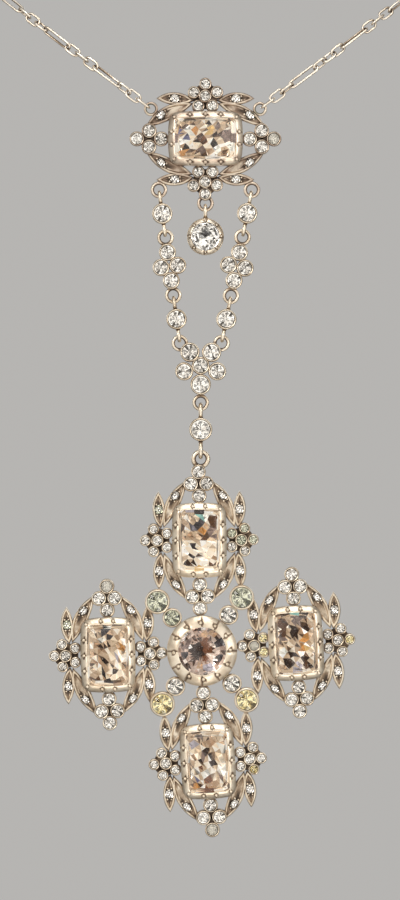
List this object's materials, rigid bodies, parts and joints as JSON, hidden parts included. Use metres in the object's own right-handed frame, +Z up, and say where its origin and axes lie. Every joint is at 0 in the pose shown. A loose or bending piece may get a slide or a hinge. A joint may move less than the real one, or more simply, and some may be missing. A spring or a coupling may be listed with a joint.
{
  "type": "cross necklace",
  "caption": "Necklace with a fetter chain and a plaque, from which side strings and a flower carry a large paste-set silver cross",
  "frame": {"origin": "where the clasp lies on the nape of the neck: the middle of the clasp's front face", "axes": "+Z up, the front of the necklace faces -Y, +X to the right as seen from the front"},
  "size_m": [0.1213, 0.1095, 0.2066],
  "materials": {
    "silver": "old silver with a warm tarnish, bright on the rubbed edges",
    "chain_silver": "drawn silver wire, rubbed bright",
    "champagne_paste": "foiled glass paste, pale champagne",
    "rose_paste": "foiled glass paste, rose brown",
    "green_paste": "foiled glass paste, pale green to yellow",
    "white_paste": "foiled glass paste, colourless"
  },
  "bodies": {
    "necklace": {"plaque_frame": "silver", "flower_frame": "silver", "link_frame": "silver", "drop_frame": "silver", "clasp": "chain_silver", "plaque_stone": "champagne_paste", "plaque_stones": "white_paste", "link_stone": "white_paste", "drop_stone": "white_paste", "left_chain": "chain_silver", "right_chain": "chain_silver", "left_upper_link": "silver", "left_lower_link": "silver", "left_upper_stone": "white_paste", "left_lower_stone": "white_paste", "left_group": "silver", "left_top": "white_paste", "left_outer": "white_paste", "left_inner": "white_paste", "left_bottom": "white_paste", "right_upper_link": "silver", "right_lower_link": "silver", "right_upper_stone": "white_paste", "right_lower_stone": "white_paste", "right_group": "silver", "right_top": "white_paste", "right_outer": "white_paste", "right_inner": "white_paste", "right_bottom": "white_paste", "petal_heart": "white_paste", "petal_upper_right": "white_paste", "petal_upper_left": "white_paste", "petal_right": "white_paste", "petal_left": "white_paste", "petal_low": "white_paste"},
    "cross": {"cross_frame": "silver", "centre_stone": "rose_paste", "north_stone": "champagne_paste", "east_stone": "champagne_paste", "south_stone": "champagne_paste", "west_stone": "champagne_paste", "north_stones": "white_paste", "east_stones": "white_paste", "south_stones": "white_paste", "west_stones": "white_paste", "inner_ne": "white_paste", "inner_se": "white_paste", "inner_sw": "white_paste", "inner_nw": "white_paste", "outer_ne": "green_paste", "outer_se": "green_paste", "outer_sw": "green_paste", "outer_nw": "green_paste"}
  },
  "joints": [
    {"name": "cross_swing", "type": "hinge", "parent": "necklace", "child": "cross", "pos_m": [-0.00085, -0.10463, -0.13466], "axis": [1, 0, 0], "range_deg": [-75, 75]}
  ]
}
